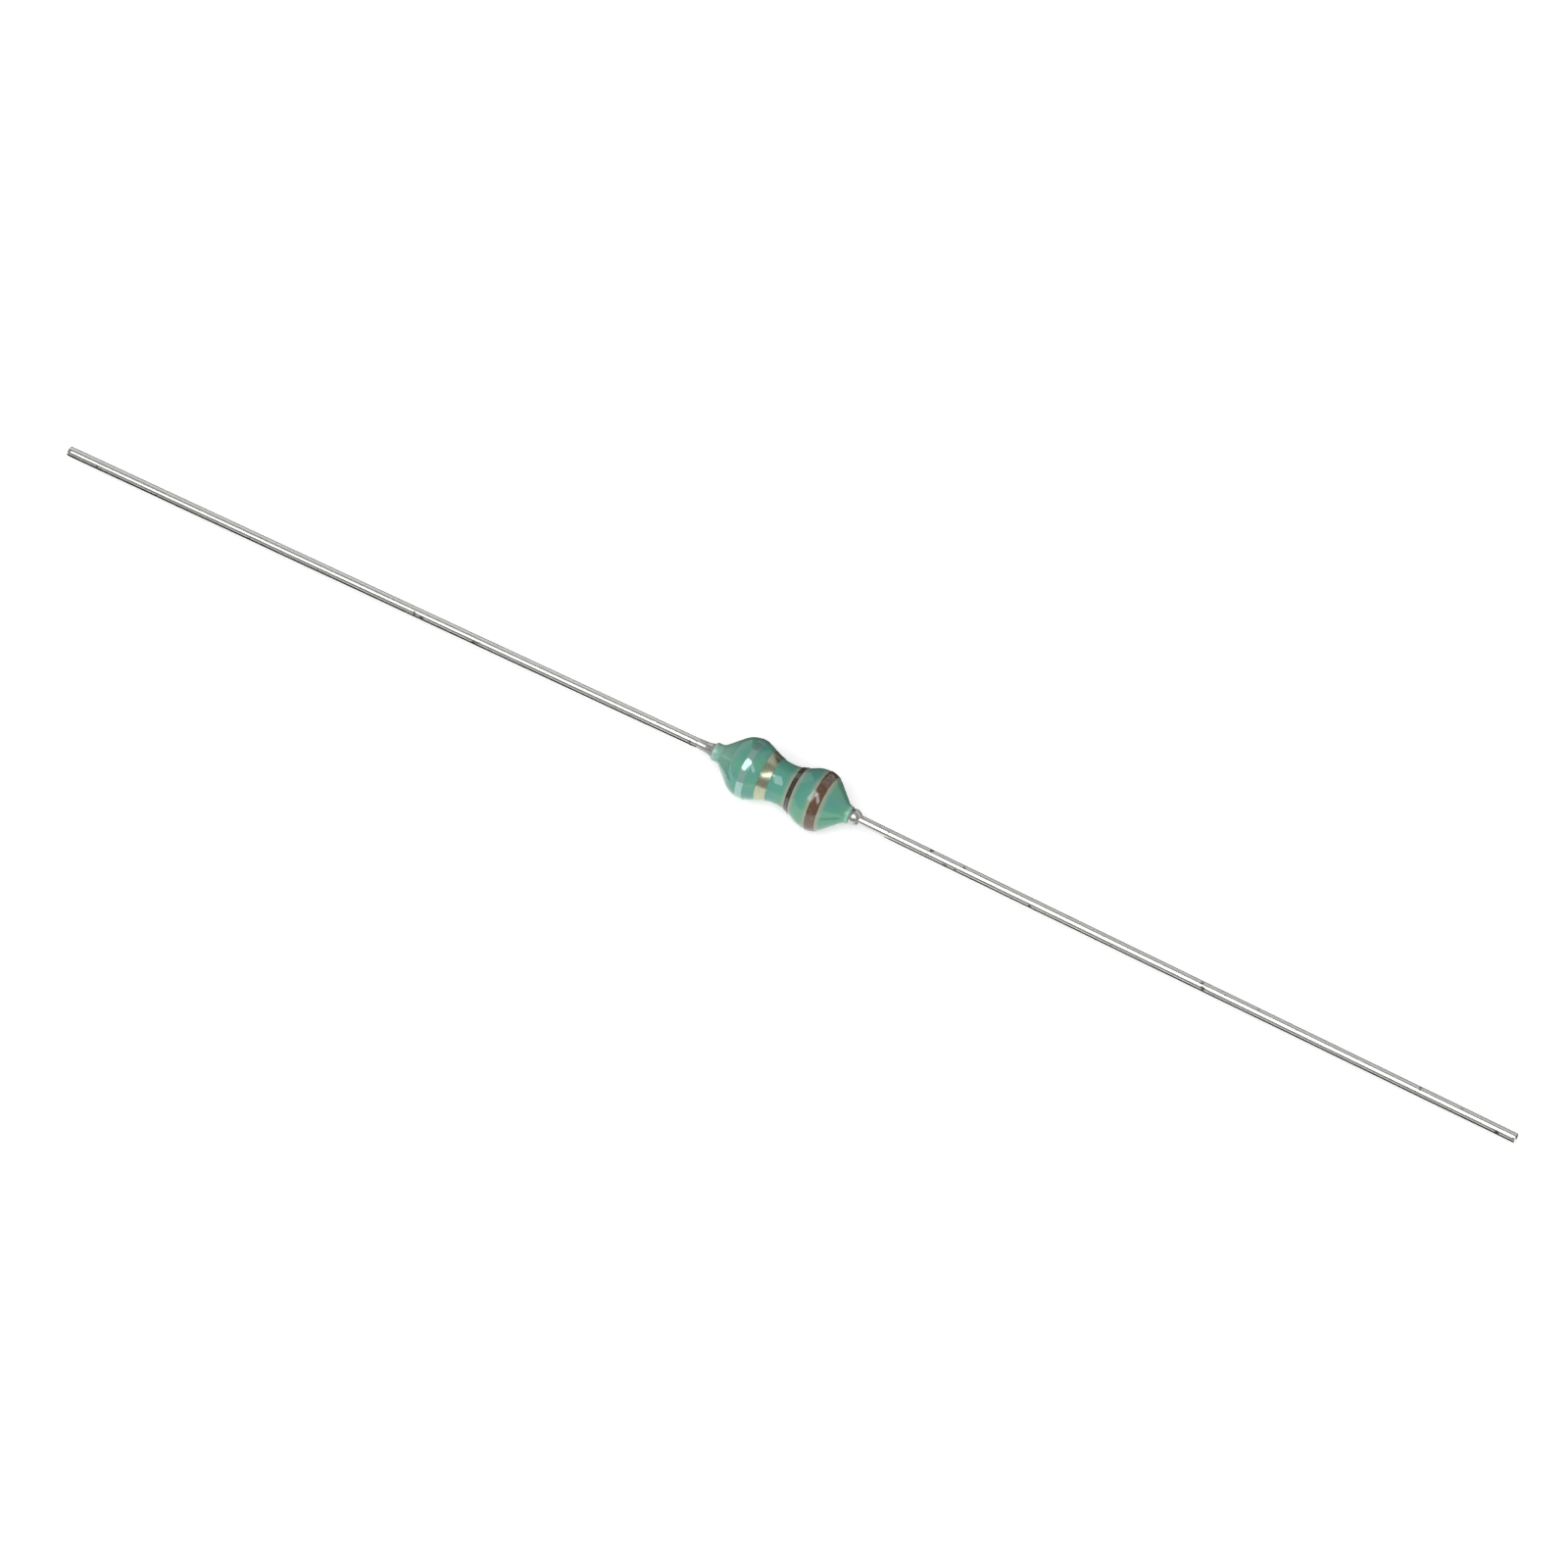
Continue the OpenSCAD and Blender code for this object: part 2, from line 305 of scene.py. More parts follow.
@dataclass(frozen=True)
class DippedEpoxy:
    """Pigmented epoxy, dipped and cured while it turned: a thick wet skin, uneven like glaze.

    It is cloudy in two greens. It thins to a pale film towards the left tip, the solder shows
    through at both tips, and beside the dark rings it has a tan halo.
    """

    colour: str = "#579889"
    second: str = "#5e9f81"
    film: str = "#9ac2b3"
    bare: str = "#b3bab6"
    halo: str = "#a8a290"
    ior: float = 1.55
    roughness: float = 0.1
    wander: float = 0.012
    wander_length: float = 0.25
    cloud: float = 0.9
    cloud_from: float = 0.42
    cloud_to: float = 0.68
    peel: float = 0.22
    peel_depth: float = 0.0025
    halo_w: float = 0.22
    halo_share: float = 0.8
    film_from: float = 0.6
    film_to: float = 1.5
    film_share: float = 0.5
    bare_length: float = 0.2
    bare_share: float = 0.9

    def material(self, dark_edges: list[float], tips: tuple[float, float]) -> bpy.types.Material:
        """Makes the finish.

        Args:
            dark_edges: places of the dark rings' edges, where the ink's pale vehicle has crept out.
            tips: places of the two tips, where the skin is a thin film over solder.

        Returns:
            The material.
        """
        # Cured epoxy has an IOR near 1.55 and stays as smooth as it flowed, so it looks wet
        paint = Paint("dipped_green_epoxy", IOR=self.ior, Roughness=self.roughness)
        place = paint.along(self.wander, self.wander_length)
        clouds = paint.ranged(paint.noise(self.cloud), self.cloud_from, self.cloud_to)
        tint = paint.mixed(clouds, self.colour, self.second)
        left, right = tips
        for start, end, share, colour in (
            (left + self.film_from, left + self.film_to, self.film_share, self.film),
            (left, left + self.bare_length, self.bare_share, self.bare),
            (right, right - self.bare_length, self.bare_share, self.film),
        ):
            thin = paint.ranged(place, start * MM, end * MM, share, 0.0)
            tint = paint.mixed(thin, tint, colour)
        for edge in dark_edges:
            off = paint.maths("ABSOLUTE", paint.maths("SUBTRACT", place, edge * MM), 0.0)
            crept = paint.ranged(off, 0.0, self.halo_w * MM, self.halo_share, 0.0)
            tint = paint.mixed(crept, tint, self.halo)
        paint.lead_in("Base Color", tint)
        paint.bump(paint.noise(self.peel), self.peel_depth)
        return paint.material


@dataclass(frozen=True)
class PrintedInk:
    """Pigment ink rolled on the turning body: opaque, less glossy than the skin, thin in places."""

    name: str
    colour: str
    worn: str
    ior: float = 1.5
    gleam: float = 1.0
    roughness: float = 0.13
    grain: float = 0.14
    worn_from: float = 0.5
    worn_to: float = 0.8
    depth: float = 0.001

    def material(self) -> bpy.types.Material:
        """Makes the finish.

        Returns:
            The material.
        """
        # A cured binder on coarse pigment that gleams itself: the roller leaves thinner patches
        paint = Paint(
            self.name, IOR=self.ior, Roughness=self.roughness, Specular_IOR_Level=self.gleam
        )
        patches = paint.noise(self.grain, detail=3.0)
        worn = paint.ranged(patches, self.worn_from, self.worn_to)
        paint.lead_in("Base Color", paint.mixed(worn, self.colour, self.worn))
        paint.bump(patches, self.depth)
        return paint.material


@dataclass(frozen=True)
class MetalFlakeInk:
    """Ink filled with metal flakes that lie nearly flat: it shines in a broad, soft streak."""

    name: str
    colour: str
    under: str
    metal: float
    roughness: float
    flake: float = 0.05
    gap_from: float = 0.55
    gap_to: float = 0.75
    depth: float = 0.0008

    def material(self) -> bpy.types.Material:
        """Makes the finish.

        Returns:
            The material.
        """
        # Flakes of 20 to 40 microns are drawn at 50, because finer ones don't show at all
        paint = Paint(self.name, Metallic=self.metal, Roughness=self.roughness)
        flakes = paint.noise(self.flake, detail=1.0)
        gaps = paint.ranged(flakes, self.gap_from, self.gap_to)
        paint.lead_in("Base Color", paint.mixed(gaps, self.colour, self.under))
        paint.bump(flakes, self.depth)
        return paint.material


@dataclass(frozen=True)
class TinnedCopper:
    """Copper wire drawn through a bath of tin: bright, with faint draw lines and random dark,
    rougher spots.
    """

    colour: str = "#d4d4d0"
    dark_spot: str = "#6a6a68"
    roughness: float = 0.18
    dark_spot_roughness: float = 0.38
    line: float = 0.05
    line_depth: float = 0.0007
    dark_spot_size: float = 0.35
    dark_spot_from: float = 0.66
    dark_spot_to: float = 0.74

    def material(self) -> bpy.types.Material:
        """Makes the finish.

        Returns:
            The material.
        """
        # Tin wipes on evenly: its gloss comes from long fine draw lines, broken by random dark
        # spots that are also rougher
        paint = Paint("tinned_copper", Metallic=1.0)
        lines = paint.noise(self.line, detail=1.0, stretch=Stretch.DRAWN)
        # Random dark spots are mixed into the tin's colour, and the roughness rises in them
        dark_spots = paint.ranged(paint.noise(self.dark_spot_size), self.dark_spot_from, self.dark_spot_to)
        gloss = paint.ranged(dark_spots, 0.0, 1.0, self.roughness, self.dark_spot_roughness)
        paint.lead_in("Base Color", paint.mixed(dark_spots, self.colour, self.dark_spot))
        paint.lead_in("Roughness", gloss)
        paint.bump(lines, self.line_depth)
        return paint.material


@dataclass(frozen=True)
class FusedSolder:
    """Tin solder frozen where it flowed: satin, a little crinkled, with epoxy run over its root."""

    name: str
    colour: str = "#c4c4c0"
    film: str = "#6f9788"
    roughness: float = 0.28
    wander: float = 0.05
    wander_length: float = 0.2
    crinkle: float = 0.12
    depth: float = 0.006

    def material(self, root: float, film_length: float) -> bpy.types.Material:
        """Makes the finish.

        Args:
            root: place where the solder leaves the coat.
            film_length: length of the film of epoxy on it, signed towards the lead's end.

        Returns:
            The material.
        """
        # Solder shrinks as it freezes, so soft crinkles break its gloss; the film is no metal
        paint = Paint(self.name, Roughness=self.roughness)
        place = paint.along(self.wander, self.wander_length)
        bare = paint.ranged(place, root * MM, (root + film_length) * MM)
        paint.lead_in("Base Color", paint.mixed(bare, self.film, self.colour))
        paint.lead_in("Metallic", bare)
        paint.bump(paint.noise(self.crinkle), self.depth)
        return paint.material


@dataclass(frozen=True)
class HiddenFinish:
    """A piece that the coat covers, in its own stuff, with one fine pattern."""

    name: str
    colour: str
    second: str
    roughness: float
    metal: float
    grain: float
    depth: float
    grain_from: float = 0.35
    grain_to: float = 0.65

    def material(self) -> bpy.types.Material:
        """Makes the finish.

        Returns:
            The material.
        """
        # Sintered, drawn or poured, each of these has one fine grain in colour and surface
        paint = Paint(self.name, Metallic=self.metal, Roughness=self.roughness)
        grains = paint.noise(self.grain, detail=3.0)
        spots = paint.ranged(grains, self.grain_from, self.grain_to)
        paint.lead_in("Base Color", paint.mixed(spots, self.colour, self.second))
        paint.bump(grains, self.depth)
        return paint.material


class Section:
    """A pen that draws the section of a turned piece: X along the axis and Z for the radius."""

    def __init__(self, x: float, radius: float) -> None:
        """Sets the pen down at a place and radius."""
        self.mesh = bmesh.new()
        self.tip = self.mesh.verts.new((x, 0, radius))

    def line(self, x: float, radius: float, parts: int = 1) -> None:
        """Draws a straight line.

        Args:
            x: place of its end.
            radius: radius of its end.
            parts: number of equal parts in it.
        """
        step = (Vector((x, 0, radius)) - self.tip.co) / parts
        made = bmesh.ops.spin(self.mesh, geom=[self.tip], axis=(0, 1, 0), dvec=step, steps=parts)
        self.tip = made["geom_last"][0]

    def arc(self, x: float, radius: float, turn: float, steps: int) -> None:
        """Draws an arc, clockwise with X to the right.

        Args:
            x: place of its centre.
            radius: radius at which its centre lies.
            turn: its angle, negative for the other way.
            steps: number of its parts.
        """
        made = bmesh.ops.spin(
            self.mesh,
            geom=[self.tip],
            cent=(x, 0, radius),
            axis=(0, 1, 0),
            angle=math.radians(turn),
            steps=steps,
        )
        self.tip = made["geom_last"][0]

    def close(self) -> None:
        """Draws the line back to the first point."""
        self.mesh.verts.ensure_lookup_table()
        self.mesh.edges.new((self.tip, self.mesh.verts[0]))

    def revolve(self, segments: int) -> bmesh.types.BMesh:
        """Turns the section once round the axis.

        Args:
            segments: number of its parts.

        Returns:
            The turned mesh.
        """
        bmesh.ops.spin(
            self.mesh,
            geom=[*self.mesh.verts, *self.mesh.edges],
            axis=(1, 0, 0),
            angle=math.tau,
            steps=segments,
            use_merge=True,
        )
        return self.mesh


def make_lumpy(
    verts: list[bmesh.types.BMVert], size: float, depth: float, seed: float
) -> None:
    """Sinks points towards the axis by a smooth uneven amount.

    Args:
        verts: the points that move.
        size: length of a lump.
        depth: most that a point sinks.
        seed: shift of the pattern, so that no two pieces have the same.
    """
    for vert in verts:
        # The noise runs from -1 to 1
        sink = depth * (0.5 + 0.5 * noise.noise(vert.co / size + Vector((seed, 0, 0))))
        vert.co -= Vector((0, vert.co.y, vert.co.z)).normalized() * sink


def round_edges(
    mesh: bmesh.types.BMesh, edges: list[bmesh.types.BMEdge], width: float
) -> None:
    """Rounds edges over.

    Args:
        mesh: the mesh.
        edges: its edges that are rounded.
        width: how far from the edge the rounding starts.
    """
    bmesh.ops.bevel(
        mesh, geom=edges, offset=width, segments=2, affect="EDGES", profile=0.5, material=-1
    )


def turn_to_left(mesh: bmesh.types.BMesh) -> None:
    """Turns a piece that was drawn towards +X half round, so that it points to -X."""
    bmesh.ops.rotate(mesh, verts=mesh.verts, matrix=Matrix.Rotation(math.pi, 3, "Z"))


def reach(node: str) -> tuple[Vector, Vector]:
    """Lowest and highest corner of a node, in millimetres."""
    low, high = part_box(node)
    return low / MM, high / MM


def add_object(
    mesh: bmesh.types.BMesh, name: str, material: bpy.types.Material
) -> bpy.types.Object:
    """Puts a drawn mesh into the scene, with its place in the mesh.

    Args:
        mesh: the mesh in metres, freed afterwards.
        name: the object's name.
        material: its finish.

    Returns:
        The object.
    """
    data = bpy.data.meshes.new(name)
    mesh.to_mesh(data)
    mesh.free()
    data.materials.append(material)
    added = bpy.data.objects.new(name, data)
    bpy.context.scene.collection.objects.link(added)
    return added


def make_piece(
    mesh: bmesh.types.BMesh, name: str, material: bpy.types.Material, node: str
) -> None:
    """Turns a drawn mesh into a piece that stands for a node.

    Args:
        mesh: the mesh, freed afterwards.
        name: the piece's name.
        material: its finish.
        node: the node that it stands for.
    """
    bmesh.ops.remove_doubles(mesh, verts=mesh.verts, dist=WELD_DISTANCE)
    bmesh.ops.recalc_face_normals(mesh, faces=mesh.faces)
    bmesh.ops.scale(mesh, vec=(MM, MM, MM), verts=mesh.verts)
    for face in mesh.faces:
        face.smooth = True
    piece = add_object(mesh, name, material)
    piece.data.set_sharp_from_angle(angle=math.radians(SHARP_ANGLE))
    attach(piece, BODY)
    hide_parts(node)
    log.info("%s: %d faces", name, len(piece.data.polygons))


@dataclass
class Insides:
    """The core, its winding and the adhesive, which stay as they come and get their finish."""

    ferrite: HiddenFinish = HiddenFinish(
        "sintered_ferrite", "#2b2b2d", "#3d3c3c", roughness=0.75, metal=0.0, grain=0.04, depth=0.004
    )
    enamel: HiddenFinish = HiddenFinish(
        "enamelled_copper", "#b3552a", "#8f3f1d", roughness=0.25, metal=0.8, grain=0.2, depth=0.001
    )
    adhesive: HiddenFinish = HiddenFinish(
        "cured_adhesive", "#d9c99a", "#c4b27e", roughness=0.4, metal=0.0, grain=0.15, depth=0.003
    )

    def dress(self, nodes: dict[str, bpy.types.Object]) -> None:
        """Gives each hidden node its finish.

        Args:
            nodes: the frame's nodes by name.
        """
        finishes = {
            "ferrite_core": self.ferrite,
            "winding": self.enamel,
            "lead_bond_left": self.adhesive,
            "lead_bond_right": self.adhesive,
        }
        for name, finish in finishes.items():
            data = nodes[name].data
            data.materials.clear()
            data.materials.append(finish.material())
            log.info("%s: dressed", name)


@dataclass
class Lead:
    """One tinned lead: the root in its socket, a slight bend and the long straight stretch.

    On the left a skin of solder with ripples in it reaches a little along the stretch.
    """

    side: Side
    radius: float = 0.2
    root_x: float = 1.1
    straight: float = 0.1
    bend_r: float = 4.0
    bend_steps: int = 3
    droop: float = 1.1
    ring: float = 0.16
    segments: int = 56
    ripple_length: float = 1.9
    ripple_ring: float = 0.05
    ripple: float = 0.22
    ripple_depth: float = 0.007
    ripple_seed: float = 2.9
    cut_bevel: float = 0.03
    finish: TinnedCopper = TinnedCopper()

    def build(self) -> None:
        """Models and dresses the lead."""
        tip_x, solder_x = (
            max(abs(corner.x) for corner in reach(f"{kind}_{self.side.word}"))
            for kind in ("lead", "solder")
        )
        angle = math.radians(self.droop)
        heading = Vector((math.cos(angle), 0, -math.sin(angle)))
        bend_x = solder_x + self.straight
        start = bend_x + self.bend_r * math.sin(angle)
        length = (tip_x - start - self.radius * math.sin(angle)) / math.cos(angle)
        wire = bmesh.new()
        along_x = Matrix.Translation((self.root_x, 0, 0)) @ Matrix.Rotation(math.pi / 2, 4, "Y")
        bmesh.ops.create_circle(
            wire, cap_ends=True, segments=self.segments, radius=self.radius, matrix=along_x
        )
        edges = self.run(wire, wire.edges[:], Vector((1, 0, 0)), bend_x - self.root_x, self.ring)
        made = bmesh.ops.spin(
            wire,
            geom=edges,
            cent=(bend_x, 0, -self.bend_r),
            axis=(0, 1, 0),
            angle=angle,
            steps=self.bend_steps,
        )
        edges = self.last_ring(made)
        edges = self.run(wire, edges, heading, self.ripple_length, self.ripple_ring)
        rippled = [v for v in wire.verts if start < v.co.x < start + self.ripple_length]
        edges = self.run(wire, edges, heading, length - self.ripple_length, self.ring)
        cap = bmesh.ops.edgeloop_fill(wire, edges=edges)["faces"][0]
        round_edges(wire, cap.edges[:], self.cut_bevel)
        if self.side is Side.LEFT:
            seed = self.side.value * self.ripple_seed
            make_lumpy(rippled, self.ripple, self.ripple_depth, seed)
            turn_to_left(wire)
        make_piece(
            wire,
            f"{self.side.word}_lead_wire",
            self.finish.material(),
            f"lead_{self.side.word}",
        )

    def run(
        self,
        wire: bmesh.types.BMesh,
        edges: list[bmesh.types.BMEdge],
        heading: Vector,
        length: float,
        spacing: float,
    ) -> list[bmesh.types.BMEdge]:
        """Draws the wire on in a straight line.

        Args:
            wire: the mesh.
            edges: the ring at which it ends so far.
            heading: direction of the line.
            length: its length.
            spacing: distance between its rings.

        Returns:
            The ring at its new end.
        """
        steps = max(1, round(length / spacing))
        step = heading * length / steps
        made = bmesh.ops.spin(wire, geom=edges, axis=(0, 1, 0), dvec=step, steps=steps)
        return self.last_ring(made)

    def last_ring(self, made: dict[str, Any]) -> list[bmesh.types.BMEdge]:
        """Edges of the ring at which a spin of the wire ended."""
        return [part for part in made["geom_last"] if isinstance(part, bmesh.types.BMEdge)]


@dataclass
class Solder:
    """Solder on the root of one lead: a hollow run-out on the left and a bead on the right.

    Inside the coat it is a sleeve that tapers to a neck, with a cavity for the wire's last turns.
    """

    side: Side
    lead_r: float = 0.2
    outer_r: float = 0.45
    neck_r: float = 0.3
    cavity_r: float = 0.39
    cavity_x: float = 2.38
    taper_x: float = 2.42
    neck_x: float = 2.68
    edge: float = 0.01
    run_out_steps: int = 24
    bead_height: float = 0.04
    bead_top_share: float = 0.35
    bead_front_steps: int = 10
    bead_back_steps: int = 18
    film_left: float = 0.12
    film_right: float = 0.05
    lump: float = 0.3
    lump_depth: float = 0.012
    lump_seed: float = 7.3
    segments: int = 96

    def build(self) -> None:
        """Models and dresses the solder."""
        core_x = reach("ferrite_core")[1].x
        low, high = reach(f"solder_{self.side.word}")
        end_x = max(abs(low.x), abs(high.x))
        low, high = reach("coat")
        tip_x = -low.x if self.side is Side.LEFT else high.x
        section = Section(core_x, self.outer_r)
        section.line(self.taper_x, self.outer_r)
        section.line(self.neck_x, self.neck_r)
        section.line(tip_x, self.neck_r)
        if self.side is Side.LEFT:
            self.draw_run_out(section, tip_x, end_x)
        else:
            self.draw_bead(section, tip_x, end_x)
        section.line(end_x, self.lead_r)
        section.line(self.cavity_x, self.lead_r)
        section.line(self.cavity_x, self.cavity_r)
        section.line(core_x, self.cavity_r)
        section.close()
        mesh = section.revolve(self.segments)
        seat_r = self.lead_r + self.edge * 2
        bare = [v for v in mesh.verts if v.co.x > tip_x and v.co.yz.length > seat_r]
        make_lumpy(bare, self.lump, self.lump_depth, self.side.value * self.lump_seed)
        if self.side is Side.LEFT:
            turn_to_left(mesh)
        root = self.side.value * tip_x
        film = self.side.value * (self.film_left if self.side is Side.LEFT else self.film_right)
        make_piece(
            mesh,
            f"{self.side.word}_solder_collar",
            FusedSolder(f"fused_solder_{self.side.word}").material(root, film),
            f"solder_{self.side.word}",
        )

    def draw_run_out(self, section: Section, tip_x: float, end_x: float) -> None:
        """Draws the fillet that hollows down to the lead.

        Args:
            section: the section so far, up to the coat's tip.
            tip_x: place of the coat's tip.
            end_x: place where the solder ends.
        """
        length = end_x - tip_x
        drop = self.neck_r - self.lead_r - self.edge
        arc_r = (length**2 + drop**2) / (2 * drop)
        turn = math.degrees(math.asin(length / arc_r))
        section.arc(end_x, self.lead_r + self.edge + arc_r, -turn, self.run_out_steps)

    def draw_bead(self, section: Section, tip_x: float, end_x: float) -> None:
        """Draws the bead that swells past the coat and closes on the lead.

        Args:
            section: the section so far, up to the coat's tip.
            tip_x: place of the coat's tip.
            end_x: place where the solder ends.
        """
        rise = self.bead_height
        drop = self.neck_r + self.bead_height - self.lead_r - self.edge
        front = (end_x - tip_x) * self.bead_top_share
        back = end_x - tip_x - front
        top_x, top_r = tip_x + front, self.neck_r + self.bead_height
        for length, fall, steps in (
            (front, rise, self.bead_front_steps),
            (back, drop, self.bead_back_steps),
        ):
            arc_r = (length**2 + fall**2) / (2 * fall)
            section.arc(top_x, top_r - arc_r, math.degrees(math.asin(length / arc_r)), steps)


@dataclass(frozen=True)
class Ring:
    """A printed colour ring, with its finish.

    Attributes:
        node: the node that it stands for.
        name: the piece's name.
        slot: name of a material slot for its finish; not used.
        finish: its ink.
        dark: whether its ink has left halos on the coat.
    """

    node: str
    name: str
    slot: str
    finish: PrintedInk | MetalFlakeInk
    dark: bool


@dataclass
class Coat:
    """The dipped coat in its dog-bone shape, with the four printed rings on it.

    Its outline is a waist between two crests. From each crest it turns down to a straight slope,
    and a small hollow leads that slope into a narrow tip.
    """

    waist_r: float = 0.86
    crest_x: float = 1.475
    crest_inner_r: float = 1.18
    crest_outer_r: float = 0.9
    end_angle: float = 43.0
    hollow_r: float = 0.3
    tip_r: float = 0.38
    tip_round: float = 0.05
    tip_round_steps: int = 6
    left_tip_parts: int = 5
    right_tip_parts: int = 2
    winding_r: float = 0.68
    space_x: float = 1.2
    chamfer: float = 0.04
    ink: float = 0.02
    ink_bevel: float = 0.009
    ink_rim_angle: float = 57.0
    lump: float = 1.3
    lump_depth: float = 0.012
    lump_seed: float = 3.1
    segments: int = 240
    part: float = 0.035
    finish: DippedEpoxy = DippedEpoxy()
    left_tip: float = field(init=False)
    right_tip: float = field(init=False)
    crest_r: float = field(init=False)
    waist_arc_r: float = field(init=False)
    turn_over: float = field(init=False)
    slope_x: float = field(init=False)
    slope_r: float = field(init=False)
    foot_x: float = field(init=False)
    foot_r: float = field(init=False)
    hollow_x: float = field(init=False)
    rings: tuple[Ring, ...] = (
        Ring(
            "band_brown",
            "brown_ring",
            "brown_ink",
            PrintedInk("brown_ink", "#593e2a", "#6a6046"),
            dark=True,
        ),
        Ring(
            "band_black",
            "black_ring",
            "black_ink",
            PrintedInk("black_ink", "#302d23", "#4b4637"),
            dark=True,
        ),
        Ring(
            "band_gold",
            "gold_ring",
            "gold_ink",
            MetalFlakeInk("gold_flake_ink", "#b5ba9f", "#979c83", metal=0.93, roughness=0.24),
            dark=False,
        ),
        Ring(
            "band_silver",
            "silver_ring",
            "silver_ink",
            MetalFlakeInk("silver_flake_ink", "#97bdb3", "#89b0a4", metal=0.52, roughness=0.1),
            dark=False,
        ),
    )

    def build(self, solder: Solder) -> None:
        """Models and dresses the coat and its rings.

        Args:
            solder: solder that the coat fits round.
        """
        self.measure()
        edges = [corner.x for ring in self.rings if ring.dark for corner in reach(ring.node)]
        section = self.draw_outside()
        outer = len(section.mesh.verts)
        self.draw_inside(section, solder)
        mark = section.mesh.verts.layers.int.new("outside")
        section.mesh.verts.ensure_lookup_table()
        for vert in section.mesh.verts[:outer]:
            vert[mark] = 1
        mesh = section.revolve(self.segments)
        self.make_uneven([v for v in mesh.verts if v[mark]])
        finish = self.finish.material(edges, (self.left_tip, self.right_tip))
        make_piece(mesh, "dipped_coat", finish, "coat")
        for ring in self.rings:
            self.print_ring(ring)

    def measure(self) -> None:
        """Reads the coat's ends and its crests from the frame, and works out its arcs."""
        low, high = reach("coat")
        self.left_tip, self.right_tip = low.x, high.x
        self.crest_r = high.z
        rise = self.crest_r - self.waist_r
        arcs_r = (self.crest_x**2 + rise**2) / (2 * rise)
        self.waist_arc_r = arcs_r - self.crest_inner_r
        self.turn_over = math.degrees(math.asin(self.crest_x / arcs_r))
        angle = math.radians(self.end_angle)
        self.slope_x = self.crest_x + self.crest_outer_r * math.sin(angle)
        self.slope_r = self.crest_r - self.crest_outer_r * (1 - math.cos(angle))
        self.foot_r = self.tip_r + self.hollow_r * (1 - math.cos(angle))
        self.foot_x = self.slope_x + (self.slope_r - self.foot_r) / math.tan(angle)
        self.hollow_x = self.foot_x + self.hollow_r * math.sin(angle)

    def parts(self, length: float) -> int:
        """Number of parts in a stretch of the outline of that length."""
        return max(2, round(length / self.part))

    def arc(self, section: Section, x: float, centre: float, radius: float, turn: float) -> None:
        """Draws an arc of the outline in parts of the usual length."""
        section.arc(x, centre, turn, self.parts(radius * math.radians(abs(turn))))

    def draw_outside(self) -> Section:
        """Draws the outside from the left tip to the right one.

        Returns:
            The section, not closed yet.
        """
        slope = self.parts(math.dist((self.slope_x, self.slope_r), (self.foot_x, self.foot_r)))
        tip_centre = self.tip_r - self.tip_round
        hollow_centre = self.tip_r + self.hollow_r
        outer_centre = self.crest_r - self.crest_outer_r
        inner_centre = self.crest_r - self.crest_inner_r
        waist_centre = self.waist_r + self.waist_arc_r
        section = Section(self.left_tip, tip_centre)
        section.arc(self.left_tip + self.tip_round, tip_centre, 90, self.tip_round_steps)
        section.line(-self.hollow_x, self.tip_r, self.left_tip_parts)
        self.arc(section, -self.hollow_x, hollow_centre, self.hollow_r, -self.end_angle)
        section.line(-self.slope_x, self.slope_r, slope)
        self.arc(section, -self.crest_x, outer_centre, self.crest_outer_r, self.end_angle)
        self.arc(section, -self.crest_x, inner_centre, self.crest_inner_r, self.turn_over)
        self.arc(section, 0, waist_centre, self.waist_arc_r, -2 * self.turn_over)
        self.arc(section, self.crest_x, inner_centre, self.crest_inner_r, self.turn_over)
        self.arc(section, self.crest_x, outer_centre, self.crest_outer_r, self.end_angle)
        section.line(self.foot_x, self.foot_r, slope)
        self.arc(section, self.hollow_x, hollow_centre, self.hollow_r, -self.end_angle)
        section.line(self.right_tip - self.tip_round, self.tip_r, self.right_tip_parts)
        section.arc(self.right_tip - self.tip_round, tip_centre, 90, self.tip_round_steps)
        return section

    def draw_inside(self, section: Section, solder: Solder) -> None:
        """Draws the room for the solder, the flanges and the winding, back to the left tip.

        Args:
            section: the section so far, with the outside drawn.
            solder: solder that the coat fits round.
        """
        flange = reach("ferrite_core")[1]
        half = [
            (solder.neck_x, solder.neck_r),
            (solder.taper_x, solder.outer_r),
            (flange.x, solder.outer_r),
            (flange.x, flange.z - self.chamfer),
            (flange.x - self.chamfer, flange.z),
            (self.space_x + self.chamfer, flange.z),
            (self.space_x, flange.z - self.chamfer),
            (self.space_x, self.winding_r),
        ]
        section.line(self.right_tip, solder.neck_r)
        for x, radius in half:
            section.line(x, radius)
        for x, radius in reversed(half):
            section.line(-x, radius)
        section.line(self.left_tip, solder.neck_r)
        section.close()

    def make_uneven(self, verts: list[bmesh.types.BMVert]) -> None:
        """Gives the outside the slow unevenness of a dipped skin, alike for coat and rings."""
        make_lumpy(verts, self.lump, self.lump_depth, self.lump_seed)

